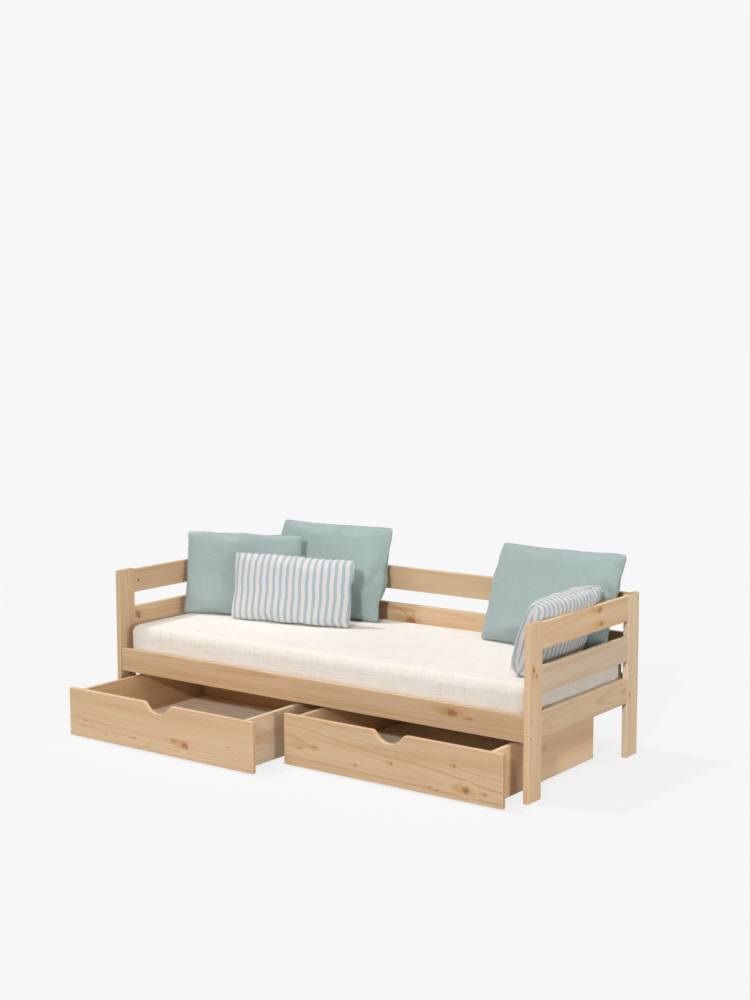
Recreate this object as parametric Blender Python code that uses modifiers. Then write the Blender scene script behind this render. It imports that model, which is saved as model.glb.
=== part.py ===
"""Storage daybed: a slatted pine frame, two rolling drawers, a mattress and five loose cushions.

Metres, +Z up.  X runs along the bed, the open side faces -Y, and the floor is at zero.
"""
import math

import bmesh
import bpy
from mathutils import Matrix

# Mattress, which the frame is built around
MATTRESS_LENGTH = 1.900
MATTRESS_WIDTH = 0.750
MATTRESS_THICKNESS = 0.150
MATTRESS_ROUNDING = 0.034
MATTRESS_EDGE_SEGMENTS = 4
MATTRESS_END_CLEARANCE = 0.0185
MATTRESS_SIDE_CLEARANCE = 0.0055

# Pine boards of the frame
LEG_HEIGHT = 0.632
LEG_WIDTH = 0.088
LEG_THICKNESS = 0.0215
RAIL_HEIGHT = 0.096
RAIL_THICKNESS = 0.022
END_RAIL_THICKNESS = 0.0195
LEG_ABOVE_RAIL = 0.005
UPPER_RAIL_GAP = 0.0595
LOWER_RAIL_GAP = 0.0655
FRONT_RAIL_INSET = 0.004
BACK_RAIL_INSET = 0.0045
BOARD_ROUNDING = 0.0025
BOARD_EDGE_SEGMENTS = 2

# Slatted base
SLAT_COUNT = 10
SLAT_WIDTH = 0.070
SLAT_THICKNESS = 0.016
SLAT_END_CLEARANCE = 0.002
SLAT_ROUNDING = 0.0015
LEDGER_WIDTH = 0.022
LEDGER_HEIGHT = 0.0215
LEDGER_LIFT = 0.004

# Drawers
LEFT_DRAWER_PULL = 0.300
RIGHT_DRAWER_PULL = 0.124
DRAWER_DEPTH = 0.7305
DRAWER_LEG_CLEARANCE = 0.0075
DRAWER_CENTRE_CLEARANCE = 0.004
DRAWER_FLOOR_CLEARANCE = 0.0085
DRAWER_HEADROOM = 0.0125
DRAWER_FRONT_THICKNESS = 0.018
DRAWER_SIDE_THICKNESS = 0.0165
DRAWER_SIDE_INSET = 0.0495
DRAWER_SIDE_RAISE = 0.0055
DRAWER_SIDE_DROP = 0.0035
DRAWER_BOTTOM_THICKNESS = 0.008
DRAWER_ROUNDING = 0.0015
DRAWER_BOTTOM_ROUNDING = 0.0004

# Finger notch in the top edge of each drawer front
NOTCH_DEPTH = 0.041
NOTCH_BOTTOM_RADIUS = 0.070
NOTCH_SHOULDER_RADIUS = 0.022
NOTCH_FLANK_ANGLE = math.radians(50.0)
NOTCH_BOTTOM_STEPS = 12
NOTCH_SHOULDER_STEPS = 4

# Fixed castors under the drawer bottoms
WHEEL_RADIUS = 0.012
WHEEL_WIDTH = 0.012
WHEEL_ROUNDING = 0.0015
AXLE_RADIUS = 0.002
AXLE_CLEARANCE = 0.0003
CASTOR_PLATE_LENGTH = 0.044
CASTOR_PLATE_WIDTH = 0.030
CASTOR_PLATE_THICKNESS = 0.002
CASTOR_EAR_LENGTH = 0.014
CASTOR_EAR_THICKNESS = 0.0018
CASTOR_EAR_BELOW_AXLE = 0.0045
CASTOR_EAR_CLEARANCE = 0.0008
CASTOR_TOP_CLEARANCE = 0.002
CASTOR_INSET_X = 0.050
CASTOR_INSET_Y = 0.070
WHEEL_SIDES = 24
AXLE_SIDES = 12

# Loose cushions: sizes from seam to seam
GREEN_WIDTH = 0.562
GREEN_HEIGHT = 0.390
GREEN_THICKNESS = 0.148
CORNER_CUSHION_WIDTH = 0.512
CORNER_CUSHION_HEIGHT = 0.340
CORNER_CUSHION_THICKNESS = 0.120
LONG_STRIPED_WIDTH = 0.556
LONG_STRIPED_HEIGHT = 0.273
LONG_STRIPED_THICKNESS = 0.096
SHORT_STRIPED_WIDTH = 0.480
SHORT_STRIPED_HEIGHT = 0.285
SHORT_STRIPED_THICKNESS = 0.136
SEAM_THICKNESS = 0.005

# Where the cushions stand: distances from the ends, and room left behind each one
CORNER_CUSHION_FROM_END = 0.2485
CORNER_CUSHION_AHEAD = 0.091
LONG_STRIPED_FROM_END = 0.5385
LONG_STRIPED_AHEAD = 0.070
CENTRE_CUSHION_FROM_END = 0.5545
RIGHT_CUSHION_END_CLEARANCE = 0.0095
SHORT_STRIPED_AHEAD = 0.037

# How the cushions are turned and how far they lean back
CORNER_CUSHION_YAW = math.radians(23.5)
CORNER_CUSHION_TILT = math.radians(11.0)
LONG_STRIPED_YAW = math.radians(11.5)
LONG_STRIPED_TILT = math.radians(10.4)
CENTRE_CUSHION_YAW = math.radians(2.3)
CENTRE_CUSHION_TILT = math.radians(16.3)
RIGHT_CUSHION_YAW = math.radians(-3.0)
RIGHT_CUSHION_TILT = math.radians(23.0)
SHORT_STRIPED_YAW = math.radians(-89.0)
SHORT_STRIPED_TILT = math.radians(18.0)

# Form of a filled cushion, as shares of its own sizes
SIDE_DRAW_SHARE = 0.045
FOOT_SAG_SHARE = 0.045
CROWN_FLATNESS = 2.6
CROWN_EDGE_POWER = 0.62
CUSHION_COLUMNS = 8
CUSHION_ROWS = 6
CUSHION_SUBDIVISION = 1

# Gap left where two pieces touch
TOUCH_GAP = 0.0003
MERGE_DISTANCE = 0.00001

# Angles that tell edges and flat places apart
BEVEL_ANGLE_LIMIT = math.radians(40.0)
FLATNESS_ANGLE = math.radians(1.0)
SHARP_ANGLE = math.radians(35.0)

# Sizes that follow from the ones above
INNER_LENGTH = MATTRESS_LENGTH + 2 * MATTRESS_END_CLEARANCE
INNER_WIDTH = MATTRESS_WIDTH + 2 * MATTRESS_SIDE_CLEARANCE
FRAME_LENGTH = INNER_LENGTH + 2 * LEG_THICKNESS
FRAME_DEPTH = FRONT_RAIL_INSET + INNER_WIDTH + 2 * RAIL_THICKNESS + BACK_RAIL_INSET
LEFT_DRAWER_OUT = LEFT_DRAWER_PULL - FRONT_RAIL_INSET
OVERALL_DEPTH = FRAME_DEPTH + LEFT_DRAWER_OUT

END_X = FRAME_LENGTH / 2
INNER_END_X = INNER_LENGTH / 2
FRONT_Y = LEFT_DRAWER_OUT - OVERALL_DEPTH / 2
BACK_Y = FRONT_Y + FRAME_DEPTH
RAIL_FACE_Y = FRONT_Y + FRONT_RAIL_INSET
INNER_FRONT_Y = RAIL_FACE_Y + RAIL_THICKNESS
INNER_BACK_Y = INNER_FRONT_Y + INNER_WIDTH

RAIL_TOPS = {
    "top": LEG_HEIGHT - LEG_ABOVE_RAIL,
    "mid": LEG_HEIGHT - LEG_ABOVE_RAIL - RAIL_HEIGHT - UPPER_RAIL_GAP,
    "low": LEG_HEIGHT - LEG_ABOVE_RAIL - 2 * RAIL_HEIGHT - UPPER_RAIL_GAP - LOWER_RAIL_GAP,
}
LOW_RAIL_BOTTOM = RAIL_TOPS["low"] - RAIL_HEIGHT
LEDGER_TOP = LOW_RAIL_BOTTOM + LEDGER_LIFT + LEDGER_HEIGHT
SLAT_TOP = LEDGER_TOP + TOUCH_GAP + SLAT_THICKNESS
MATTRESS_TOP = SLAT_TOP + TOUCH_GAP + MATTRESS_THICKNESS

DRAWER_WIDTH = (INNER_LENGTH - 2 * DRAWER_LEG_CLEARANCE - DRAWER_CENTRE_CLEARANCE) / 2
DRAWER_CENTRE_X = (DRAWER_WIDTH + DRAWER_CENTRE_CLEARANCE) / 2
DRAWER_FRONT_TOP = LOW_RAIL_BOTTOM - DRAWER_HEADROOM
DRAWER_SIDE_TOP = DRAWER_FRONT_TOP - DRAWER_SIDE_DROP
DRAWER_SIDE_BOTTOM = DRAWER_FLOOR_CLEARANCE + DRAWER_SIDE_RAISE
CASTOR_PLATE_BOTTOM = 2 * WHEEL_RADIUS + CASTOR_TOP_CLEARANCE
DRAWER_BOTTOM_Z = CASTOR_PLATE_BOTTOM + CASTOR_PLATE_THICKNESS + TOUCH_GAP

# Colour, roughness and metallic value of each material
FINISHES = {
    "pine": ((0.72, 0.53, 0.34, 1.0), 0.55, 0.0),
    "pine_light": ((0.78, 0.62, 0.43, 1.0), 0.6, 0.0),
    "drawer_ply": ((0.70, 0.58, 0.50, 1.0), 0.6, 0.0),
    "ticking": ((0.86, 0.83, 0.77, 1.0), 0.9, 0.0),
    "green_linen": ((0.42, 0.53, 0.49, 1.0), 0.9, 0.0),
    "striped_cotton": ((0.74, 0.79, 0.82, 1.0), 0.9, 0.0),
    "castor_steel": ((0.62, 0.62, 0.63, 1.0), 0.35, 1.0),
    "castor_nylon": ((0.12, 0.12, 0.13, 1.0), 0.5, 0.0),
}


def clear_scene():
    """Remove every object and start the two collections."""
    for obj in list(bpy.data.objects):
        bpy.data.objects.remove(obj, do_unlink=True)
    parts = bpy.data.collections.new("storage_daybed")
    cutters = bpy.data.collections.new("storage_daybed_cutters")
    for collection in (parts, cutters):
        bpy.context.scene.collection.children.link(collection)
    return parts, cutters


def make_material(finish, name):
    """Give one piece its own Principled material."""
    colour, roughness, metallic = FINISHES[finish]
    material = bpy.data.materials.new(name)
    material.use_nodes = True
    shader = material.node_tree.nodes["Principled BSDF"]
    shader.inputs["Base Color"].default_value = colour
    shader.inputs["Roughness"].default_value = roughness
    shader.inputs["Metallic"].default_value = metallic
    return material


def add_object(name, mesh, place, finish, parent=None):
    """Put a mesh in the parts collection as one named piece."""
    mesh.name = name
    mesh.materials.clear()
    mesh.materials.append(make_material(finish, name))
    obj = bpy.data.objects.new(name, mesh)
    PARTS.objects.link(obj)
    obj.parent = parent
    obj.location = place
    return obj


def add_bevel(obj, radius, segments):
    """Round the edges of a piece."""
    bevel = obj.modifiers.new("rounded edges", "BEVEL")
    bevel.width = radius
    bevel.segments = segments
    bevel.limit_method = "ANGLE"
    bevel.angle_limit = BEVEL_ANGLE_LIMIT
    bevel.use_clamp_overlap = True
    return bevel


def box_mesh(size, centre=(0.0, 0.0, 0.0)):
    """A plain box of the given size about a centre."""
    mesh = bpy.data.meshes.new("box")
    work = bmesh.new()
    bmesh.ops.create_cube(work, size=1.0)
    bmesh.ops.scale(work, vec=size, verts=work.verts)
    bmesh.ops.translate(work, vec=centre, verts=work.verts)
    work.to_mesh(mesh)
    work.free()
    return mesh


def add_board(name, span_x, span_y, span_z, finish, rounding, segments=BOARD_EDGE_SEGMENTS,
              parent=None):
    """A board between two planes on each axis."""
    spans = (span_x, span_y, span_z)
    size = [high - low for low, high in spans]
    centre = [(low + high) / 2 for low, high in spans]
    obj = add_object(name, box_mesh(size), centre, finish, parent)
    add_bevel(obj, rounding, segments)
    return obj


def add_origin(name, place):
    """An empty that carries the pieces of one moving body."""
    origin = bpy.data.objects.new(name, None)
    PARTS.objects.link(origin)
    origin.location = place
    return origin


def build_legs():
    """Four upright boards, wide across the bed and thin along it."""
    for end, side in (("left", -1), ("right", 1)):
        xs = sorted((side * INNER_END_X, side * END_X))
        for row, low in (("front", FRONT_Y), ("back", BACK_Y - LEG_WIDTH)):
            ys = (low, low + LEG_WIDTH)
            add_board(f"leg_{row}_{end}", xs, ys, (0.0, LEG_HEIGHT), "pine", BOARD_ROUNDING)


def build_rails():
    """Three rails at each end, three at the back and one at the front."""
    between = (-INNER_END_X + TOUCH_GAP, INNER_END_X - TOUCH_GAP)
    back = (INNER_BACK_Y, INNER_BACK_Y + RAIL_THICKNESS)
    for level, top in RAIL_TOPS.items():
        heights = (top - RAIL_HEIGHT, top)
        add_board(f"rail_back_{level}", between, back, heights, "pine", BOARD_ROUNDING)
        for end, side in (("left", -1), ("right", 1)):
            xs = sorted((side * END_X, side * (END_X - END_RAIL_THICKNESS)))
            ys = (FRONT_Y + LEG_WIDTH + TOUCH_GAP, BACK_Y - LEG_WIDTH - TOUCH_GAP)
            add_board(f"rail_{end}_{level}", xs, ys, heights, "pine", BOARD_ROUNDING)
    front = (RAIL_FACE_Y, INNER_FRONT_Y)
    heights = (LOW_RAIL_BOTTOM, RAIL_TOPS["low"])
    add_board("rail_front", between, front, heights, "pine", BOARD_ROUNDING)


def build_slatted_base():
    """Two ledgers inside the long rails, with the slats across them."""
    between = (-INNER_END_X + TOUCH_GAP, INNER_END_X - TOUCH_GAP)
    heights = (LEDGER_TOP - LEDGER_HEIGHT, LEDGER_TOP)
    near = INNER_FRONT_Y + TOUCH_GAP
    far = INNER_BACK_Y - TOUCH_GAP
    add_board("ledger_front", between, (near, near + LEDGER_WIDTH), heights,
              "pine_light", SLAT_ROUNDING, 1)
    add_board("ledger_back", between, (far - LEDGER_WIDTH, far), heights,
              "pine_light", SLAT_ROUNDING, 1)
    pitch = INNER_LENGTH / SLAT_COUNT
    ys = (INNER_FRONT_Y + SLAT_END_CLEARANCE, INNER_BACK_Y - SLAT_END_CLEARANCE)
    for index in range(SLAT_COUNT):
        middle = -INNER_END_X + pitch * (index + 0.5)
        xs = (middle - SLAT_WIDTH / 2, middle + SLAT_WIDTH / 2)
        add_board(f"slat_{index + 1:02d}", xs, ys, (SLAT_TOP - SLAT_THICKNESS, SLAT_TOP),
                  "pine_light", SLAT_ROUNDING, 1)


def build_mattress():
    """A rounded block between the rails."""
    add_board("mattress", (-MATTRESS_LENGTH / 2, MATTRESS_LENGTH / 2),
              (INNER_FRONT_Y + MATTRESS_SIDE_CLEARANCE, INNER_BACK_Y - MATTRESS_SIDE_CLEARANCE),
              (MATTRESS_TOP - MATTRESS_THICKNESS, MATTRESS_TOP),
              "ticking", MATTRESS_ROUNDING, MATTRESS_EDGE_SEGMENTS)


def notch_profile():
    """Points of the finger notch from the left shoulder to the right, about its own middle.

    Heights count down from the drawer front's top edge.
    """
    turn = NOTCH_FLANK_ANGLE
    foot_x = NOTCH_BOTTOM_RADIUS * math.sin(turn)
    foot_z = -NOTCH_DEPTH + NOTCH_BOTTOM_RADIUS * (1 - math.cos(turn))
    edge_x = foot_x - foot_z / math.tan(turn)
    shoulder_x = edge_x + NOTCH_SHOULDER_RADIUS * math.tan(turn / 2)
    right = []
    for step in range(NOTCH_BOTTOM_STEPS // 2 + 1):
        angle = turn * step / (NOTCH_BOTTOM_STEPS // 2)
        drop = -NOTCH_DEPTH + NOTCH_BOTTOM_RADIUS * (1 - math.cos(angle))
        right.append((NOTCH_BOTTOM_RADIUS * math.sin(angle), drop))
    for step in range(NOTCH_SHOULDER_STEPS + 1):
        angle = turn * (1 - step / NOTCH_SHOULDER_STEPS)
        across = shoulder_x - NOTCH_SHOULDER_RADIUS * math.sin(angle)
        right.append((across, -NOTCH_SHOULDER_RADIUS * (1 - math.cos(angle))))
    left = [(-x, z) for x, z in reversed(right[1:])]
    return left + right


def outline_mesh(points, thickness):
    """A flat outline in X and Z, thickened along Y, as one clean mesh."""
    curve = bpy.data.curves.new("outline", "CURVE")
    curve.dimensions = "2D"
    curve.fill_mode = "BOTH"
    curve.extrude = thickness / 2
    spline = curve.splines.new("POLY")
    spline.points.add(len(points) - 1)
    for point, (x, z) in zip(spline.points, points):
        point.co = (x, z, 0.0, 1.0)
    spline.use_cyclic_u = True
    holder = bpy.data.objects.new("outline", curve)
    CUTTERS.objects.link(holder)
    bpy.context.view_layer.update()
    mesh = bpy.data.meshes.new_from_object(holder.evaluated_get(bpy.context.evaluated_depsgraph_get()))
    bpy.data.objects.remove(holder, do_unlink=True)
    work = bmesh.new()
    work.from_mesh(mesh)
    bmesh.ops.remove_doubles(work, verts=work.verts, dist=MERGE_DISTANCE)
    bmesh.ops.dissolve_limit(work, angle_limit=FLATNESS_ANGLE, verts=work.verts, edges=work.edges)
    bmesh.ops.rotate(work, verts=work.verts, matrix=ROTATE_UPRIGHT)
    bmesh.ops.recalc_face_normals(work, faces=work.faces)
    work.to_mesh(mesh)
    work.free()
    return mesh


def add_drawer_front(name, parent):
    """A board with the finger notch in its top edge."""
    half = DRAWER_WIDTH / 2
    outline = [(-half, DRAWER_FLOOR_CLEARANCE), (half, DRAWER_FLOOR_CLEARANCE)]
    outline += [(half, DRAWER_FRONT_TOP)]
    outline += [(x, DRAWER_FRONT_TOP + drop) for x, drop in reversed(notch_profile())]
    outline += [(-half, DRAWER_FRONT_TOP)]
    mesh = outline_mesh(outline, DRAWER_FRONT_THICKNESS)
    front = add_object(name, mesh, (0.0, DRAWER_FRONT_THICKNESS / 2, 0.0), "pine", parent)
    add_bevel(front, DRAWER_ROUNDING, 1)
    return front


def cylinder_mesh(radius, length, sides):
    """A round bar along X about its middle."""
    mesh = bpy.data.meshes.new("bar")
    work = bmesh.new()
    bmesh.ops.create_cone(work, cap_ends=True, segments=sides, radius1=radius,
                          radius2=radius, depth=length, matrix=TURN_TO_X)
    work.to_mesh(mesh)
    work.free()
    return mesh


def add_cutter(name, mesh, place, parent):
    """A hidden shape that is joined to or taken from a piece."""
    cutter = bpy.data.objects.new(name, mesh)
    CUTTERS.objects.link(cutter)
    cutter.hide_render = True
    cutter.display_type = "WIRE"
    cutter.parent = parent
    cutter.location = place
    return cutter


def add_boolean(obj, other, operation):
    """Join another shape to a piece, or cut it away."""
    boolean = obj.modifiers.new(operation.lower(), "BOOLEAN")
    boolean.operation = operation
    boolean.solver = "EXACT"
    boolean.object = other


def add_castor_bracket(name, place, parent):
    """A plate with two ears and a fixed axle, placed at its axle."""
    plate_low = CASTOR_PLATE_BOTTOM - WHEEL_RADIUS
    plate = box_mesh((CASTOR_PLATE_WIDTH, CASTOR_PLATE_LENGTH, CASTOR_PLATE_THICKNESS),
                     (0.0, 0.0, plate_low + CASTOR_PLATE_THICKNESS / 2))
    bracket = add_object(name, plate, place, "castor_steel", parent)
    ear_x = WHEEL_WIDTH / 2 + CASTOR_EAR_CLEARANCE + CASTOR_EAR_THICKNESS / 2
    ear_top = plate_low + CASTOR_PLATE_THICKNESS / 2
    ear_size = (CASTOR_EAR_THICKNESS, CASTOR_EAR_LENGTH, ear_top + CASTOR_EAR_BELOW_AXLE)
    for side in (-1, 1):
        ear = box_mesh(ear_size, (side * ear_x, 0.0, (ear_top - CASTOR_EAR_BELOW_AXLE) / 2))
        add_boolean(bracket, add_cutter(f"{name}_ear_{side}", ear, place, parent), "UNION")
    axle_length = 2 * ear_x
    axle = cylinder_mesh(AXLE_RADIUS, axle_length, AXLE_SIDES)
    add_boolean(bracket, add_cutter(f"{name}_axle", axle, place, parent), "UNION")
    return bracket


def add_wheel(name, place, parent):
    """A turned wheel with its bore, on its own axis."""
    bore = AXLE_RADIUS + AXLE_CLEARANCE
    half = WHEEL_WIDTH / 2
    corner = WHEEL_ROUNDING
    profile = [(bore, half), (WHEEL_RADIUS - corner, half), (WHEEL_RADIUS, half - corner),
               (WHEEL_RADIUS, corner - half), (WHEEL_RADIUS - corner, -half), (bore, -half)]
    mesh = bpy.data.meshes.new(name)
    work = bmesh.new()
    ring = [work.verts.new((0.0, radius, along)) for radius, along in profile]
    for first, second in zip(ring, ring[1:] + ring[:1]):
        work.edges.new((first, second))
    bmesh.ops.spin(work, geom=work.verts[:] + work.edges[:], cent=(0.0, 0.0, 0.0),
                   axis=(0.0, 0.0, 1.0), angle=math.tau, steps=WHEEL_SIDES)
    bmesh.ops.remove_doubles(work, verts=work.verts, dist=MERGE_DISTANCE)
    bmesh.ops.recalc_face_normals(work, faces=work.faces)
    bmesh.ops.rotate(work, verts=work.verts, matrix=TURN_TO_X)
    work.to_mesh(mesh)
    work.free()
    mesh.shade_smooth()
    mesh.set_sharp_from_angle(angle=SHARP_ANGLE)
    return add_object(name, mesh, place, "castor_nylon", parent)


def build_drawer(label, centre_x, pull):
    """One drawer, carried by an empty at the middle of its front face."""
    origin = add_origin(f"{label}_origin", (centre_x, RAIL_FACE_Y - pull, 0.0))
    add_drawer_front(f"{label}_front", origin)
    outer = DRAWER_WIDTH / 2 - DRAWER_SIDE_INSET
    inner = outer - DRAWER_SIDE_THICKNESS
    near = DRAWER_FRONT_THICKNESS + TOUCH_GAP
    heights = (DRAWER_SIDE_BOTTOM, DRAWER_SIDE_TOP)
    for end, side in (("left", -1), ("right", 1)):
        xs = sorted((side * inner, side * outer))
        add_board(f"{label}_side_{end}", xs, (near, DRAWER_DEPTH), heights,
                  "pine", DRAWER_ROUNDING, 1, origin)
    across = (-inner + TOUCH_GAP, inner - TOUCH_GAP)
    back_near = DRAWER_DEPTH - DRAWER_SIDE_THICKNESS
    add_board(f"{label}_back", across, (back_near, DRAWER_DEPTH), heights,
              "pine", DRAWER_ROUNDING, 1, origin)
    add_board(f"{label}_bottom", across, (near, back_near - TOUCH_GAP),
              (DRAWER_BOTTOM_Z, DRAWER_BOTTOM_Z + DRAWER_BOTTOM_THICKNESS),
              "drawer_ply", DRAWER_BOTTOM_ROUNDING, 1, origin)
    wheel_x = inner - CASTOR_INSET_X
    rows = (near + CASTOR_INSET_Y, back_near - CASTOR_INSET_Y)
    places = [(side * wheel_x, row) for row in rows for side in (-1, 1)]
    for number, (x, y) in enumerate(places, start=1):
        place = (x, y, WHEEL_RADIUS)
        add_castor_bracket(f"{label}_castor_{number}", place, origin)
        add_wheel(f"{label}_wheel_{number}", place, origin)


def cushion_cage(work):
    """A flat two-sided grid with a rim, whose rim stays sharp when it is subdivided.

    Returns the vertices of its back side.
    """
    edge_crease = work.edges.layers.float.new("crease_edge")
    corner_crease = work.verts.layers.float.new("crease_vert")
    bmesh.ops.create_grid(work, x_segments=CUSHION_COLUMNS, y_segments=CUSHION_ROWS, size=1.0)
    back = set(work.verts)
    bmesh.ops.extrude_face_region(work, geom=work.faces[:])
    for face in work.faces:
        on_back = len(back.intersection(face.verts))
        if 0 < on_back < len(face.verts):
            for edge in face.edges:
                if len(back.intersection(edge.verts)) != 1:
                    edge[edge_crease] = 1.0
    for vert in work.verts:
        if len(vert.link_edges) == 3:
            vert[corner_crease] = 1.0
    return back


def add_cushion(name, size, turn, centre_x, finish):
    """A filled cushion with a crown, drawn-in sides and pointed corners."""
    width, height, thickness = size
    tilt, yaw = turn
    mesh = bpy.data.meshes.new(name)
    work = bmesh.new()
    back = cushion_cage(work)
    for vert in work.verts:
        u, v = vert.co.x, vert.co.y
        fall = max((1 - abs(u) ** CROWN_FLATNESS) * (1 - abs(v) ** CROWN_FLATNESS), 0.0)
        depth = (SEAM_THICKNESS + (thickness - SEAM_THICKNESS) * fall ** CROWN_EDGE_POWER) / 2
        rise = FOOT_SAG_SHARE if v < 0 else -SIDE_DRAW_SHARE
        vert.co.x = u * width / 2 * (1 - SIDE_DRAW_SHARE * (1 - v * v))
        vert.co.y = v * height / 2 * (1 + rise * (1 - u * u))
        vert.co.z = -depth if vert in back else depth
    bmesh.ops.recalc_face_normals(work, faces=work.faces)
    work.to_mesh(mesh)
    work.free()
    mesh.shade_smooth()
    cushion = add_object(name, mesh, (centre_x, 0.0, 0.0), finish)
    cushion.rotation_euler = (math.radians(90.0) - tilt, 0.0, yaw)
    soften = cushion.modifiers.new("soft form", "SUBSURF")
    soften.levels = CUSHION_SUBDIVISION
    soften.render_levels = CUSHION_SUBDIVISION
    return cushion


def world_triangles(obj):
    """The finished surface triangles of an object, in world space."""
    bpy.context.view_layer.update()
    evaluated = obj.evaluated_get(bpy.context.evaluated_depsgraph_get())
    mesh = evaluated.to_mesh()
    mesh.calc_loop_triangles()
    points = [obj.matrix_world @ vert.co for vert in mesh.vertices]
    triangles = [[points[index] for index in triangle.vertices] for triangle in mesh.loop_triangles]
    evaluated.to_mesh_clear()
    return triangles


def seat_cushion(cushion):
    """Set a cushion down on the mattress."""
    lowest = min(point.z for triangle in world_triangles(cushion) for point in triangle)
    cushion.location.z += MATTRESS_TOP + TOUCH_GAP - lowest


def lean_cushion(cushion, axis, face):
    """Push a cushion along an axis until it rests on the top rail."""
    level = RAIL_TOPS["top"]
    reach = []
    for triangle in world_triangles(cushion):
        for start, end in zip(triangle, triangle[1:] + triangle[:1]):
            if start.z <= level:
                reach.append(start[axis])
            if (start.z - level) * (end.z - level) < 0.0:
                reach.append(start.lerp(end, (level - start.z) / (end.z - start.z))[axis])
    cushion.location[axis] += face - TOUCH_GAP - max(reach)


def build_cushions():
    """Three green cushions and two striped ones, leaning on the rails and on each other."""
    green = (GREEN_WIDTH, GREEN_HEIGHT, GREEN_THICKNESS)
    left = -INNER_END_X
    centre = add_cushion("cushion_green_centre", green, (CENTRE_CUSHION_TILT, CENTRE_CUSHION_YAW),
                         left + CENTRE_CUSHION_FROM_END, "green_linen")
    right = add_cushion("cushion_green_right", green, (RIGHT_CUSHION_TILT, RIGHT_CUSHION_YAW),
                        INNER_END_X - RIGHT_CUSHION_END_CLEARANCE - GREEN_WIDTH / 2, "green_linen")
    for cushion in (centre, right):
        seat_cushion(cushion)
        lean_cushion(cushion, 1, INNER_BACK_Y)

    ahead = GREEN_THICKNESS + CORNER_CUSHION_THICKNESS / 2
    corner_size = (CORNER_CUSHION_WIDTH, CORNER_CUSHION_HEIGHT, CORNER_CUSHION_THICKNESS)
    corner = add_cushion("cushion_green_left", corner_size,
                         (CORNER_CUSHION_TILT, CORNER_CUSHION_YAW),
                         left + CORNER_CUSHION_FROM_END, "green_linen")
    corner.location.y = INNER_BACK_Y - ahead - CORNER_CUSHION_AHEAD
    seat_cushion(corner)

    long_size = (LONG_STRIPED_WIDTH, LONG_STRIPED_HEIGHT, LONG_STRIPED_THICKNESS)
    striped = add_cushion("cushion_striped_left", long_size, (LONG_STRIPED_TILT, LONG_STRIPED_YAW),
                          left + LONG_STRIPED_FROM_END, "striped_cotton")
    striped.location.y = INNER_BACK_Y - ahead - LONG_STRIPED_THICKNESS / 2 - LONG_STRIPED_AHEAD
    seat_cushion(striped)

    short_size = (SHORT_STRIPED_WIDTH, SHORT_STRIPED_HEIGHT, SHORT_STRIPED_THICKNESS)
    end = add_cushion("cushion_striped_right", short_size, (SHORT_STRIPED_TILT, SHORT_STRIPED_YAW),
                      INNER_END_X, "striped_cotton")
    end.location.y = (INNER_BACK_Y - GREEN_THICKNESS - SHORT_STRIPED_WIDTH / 2
                      - SHORT_STRIPED_AHEAD)
    seat_cushion(end)
    lean_cushion(end, 0, END_X - END_RAIL_THICKNESS)


TURN_TO_X = Matrix.Rotation(math.radians(90.0), 4, "Y")
ROTATE_UPRIGHT = Matrix.Rotation(math.radians(90.0), 4, "X")
PARTS, CUTTERS = clear_scene()
build_legs()
build_rails()
build_slatted_base()
build_mattress()
build_drawer("drawer_left", -DRAWER_CENTRE_X, LEFT_DRAWER_PULL)
build_drawer("drawer_right", DRAWER_CENTRE_X, RIGHT_DRAWER_PULL)
build_cushions()
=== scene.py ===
"""Storage daybed: pine frame, two rolling drawers, a mattress and five loose cushions.

Metres, +Z up.  X runs along the bed, and the open side faces -Y.
"""
import math
import random

import bmesh
import bpy
import numpy as np
from mathutils import Matrix, Vector, noise
from mathutils.bvhtree import BVHTree


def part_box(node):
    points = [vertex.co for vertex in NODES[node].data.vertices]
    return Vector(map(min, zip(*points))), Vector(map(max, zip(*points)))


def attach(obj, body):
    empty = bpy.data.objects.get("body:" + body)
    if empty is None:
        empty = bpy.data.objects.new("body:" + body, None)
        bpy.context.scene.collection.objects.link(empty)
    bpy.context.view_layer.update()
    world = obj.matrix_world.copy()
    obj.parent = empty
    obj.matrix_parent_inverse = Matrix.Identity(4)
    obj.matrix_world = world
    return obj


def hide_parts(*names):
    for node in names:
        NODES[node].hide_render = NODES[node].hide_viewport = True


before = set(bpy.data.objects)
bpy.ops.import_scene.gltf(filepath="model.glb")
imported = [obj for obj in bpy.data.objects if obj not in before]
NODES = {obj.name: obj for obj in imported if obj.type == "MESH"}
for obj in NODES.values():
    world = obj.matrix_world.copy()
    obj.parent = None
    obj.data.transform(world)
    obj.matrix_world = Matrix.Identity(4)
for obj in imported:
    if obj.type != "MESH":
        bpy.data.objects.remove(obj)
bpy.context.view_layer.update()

# Camera, as the photograph was taken
CAMERA_PLACE = (3.746553, -4.916057, 1.691647)
CAMERA_YAW = 0.631891119
CAMERA_PITCH = 0.116645501
CAMERA_ROLL = -0.000980357
CAMERA_LENS = 57.9027
CAMERA_SENSOR = 36.0

# Lamps: the direction that the light travels in, strength, and angle of the disc in degrees
LAMPS = {
    "key": ((-0.62, 2.00, -1.0), 1.42, 2.5),
    "top": ((0.51, 0.16, -1.0), 1.48, 5.0),
    "overhead": ((-0.10, 0.25, -1.0), 1.30, 100.0),
    "side": ((-1.0, 0.12, -0.08), 1.40, 20.0),
}
SKY_STRENGTH = 0.05
BACKDROP = (0.930, 0.930, 0.930, 1.0)
FLOOR_COLOUR = (0.85, 0.85, 0.85, 1.0)
FLOOR_BOUNCE = (0.36, 0.35, 0.34, 1.0)
FLOOR_SHADOW = 0.13
FLOOR_SIZE = 120.0
FLOOR_DROP = 0.0006

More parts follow.
